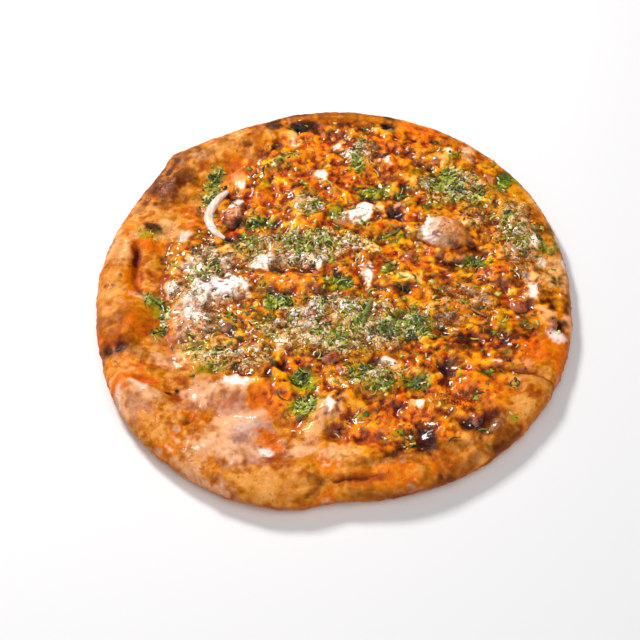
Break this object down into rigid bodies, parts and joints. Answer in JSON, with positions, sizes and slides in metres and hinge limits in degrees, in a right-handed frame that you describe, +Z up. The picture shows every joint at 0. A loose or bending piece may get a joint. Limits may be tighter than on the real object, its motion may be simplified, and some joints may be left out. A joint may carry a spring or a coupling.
{
  "type": "kulcha",
  "caption": "Round leavened flatbread with a raised uneven rim and a spiced, melted topping, strewn with paneer, tomato, onion slices and torn coriander.",
  "frame": {"origin": "on the resting surface, under the middle of the whole outline", "axes": "+Z up out of the topping; +Y along the longer way across the bread, towards its back; +X to its right"},
  "size_m": [0.229, 0.2504, 0.0174],
  "materials": {
    "baked_crust": null,
    "paneer": null,
    "tomato": null,
    "onion": null,
    "coriander": null
  },
  "bodies": {
    "root": {"bread": "baked_crust", "paneer_piece_1": "paneer", "paneer_piece_2": "paneer", "paneer_piece_3": "paneer", "paneer_piece_4": "paneer", "paneer_piece_5": "paneer", "paneer_piece_6": "paneer", "tomato_piece_1": "tomato", "tomato_piece_2": "tomato", "tomato_piece_3": "tomato", "tomato_piece_4": "tomato", "tomato_piece_5": "tomato", "tomato_piece_6": "tomato", "onion_slice_1": "onion", "onion_slice_2": "onion", "onion_slice_3": "onion", "onion_slice_4": "onion", "onion_slice_5": "onion", "onion_slice_6": "onion", "onion_slice_7": "onion", "onion_slice_8": "onion", "onion_slice_9": "onion", "onion_slice_10": "onion", "onion_slice_11": "onion", "onion_slice_12": "onion", "onion_slice_13": "onion", "onion_slice_14": "onion", "coriander_stem_1": "coriander", "coriander_stem_2": "coriander", "coriander_stem_3": "coriander", "coriander_stem_4": "coriander", "coriander_stem_5": "coriander", "coriander_stem_6": "coriander", "coriander_stem_7": "coriander", "coriander_leaf_1": "coriander", "coriander_leaf_2": "coriander", "coriander_leaf_3": "coriander", "coriander_leaf_4": "coriander", "coriander_leaf_5": "coriander", "coriander_leaf_6": "coriander", "coriander_leaf_7": "coriander", "coriander_leaf_8": "coriander", "coriander_leaf_9": "coriander", "coriander_leaf_10": "coriander", "coriander_leaf_11": "coriander", "coriander_leaf_12": "coriander", "coriander_leaf_13": "coriander", "coriander_leaf_14": "coriander", "coriander_leaf_15": "coriander", "coriander_leaf_16": "coriander"}
  },
  "joints": []
}
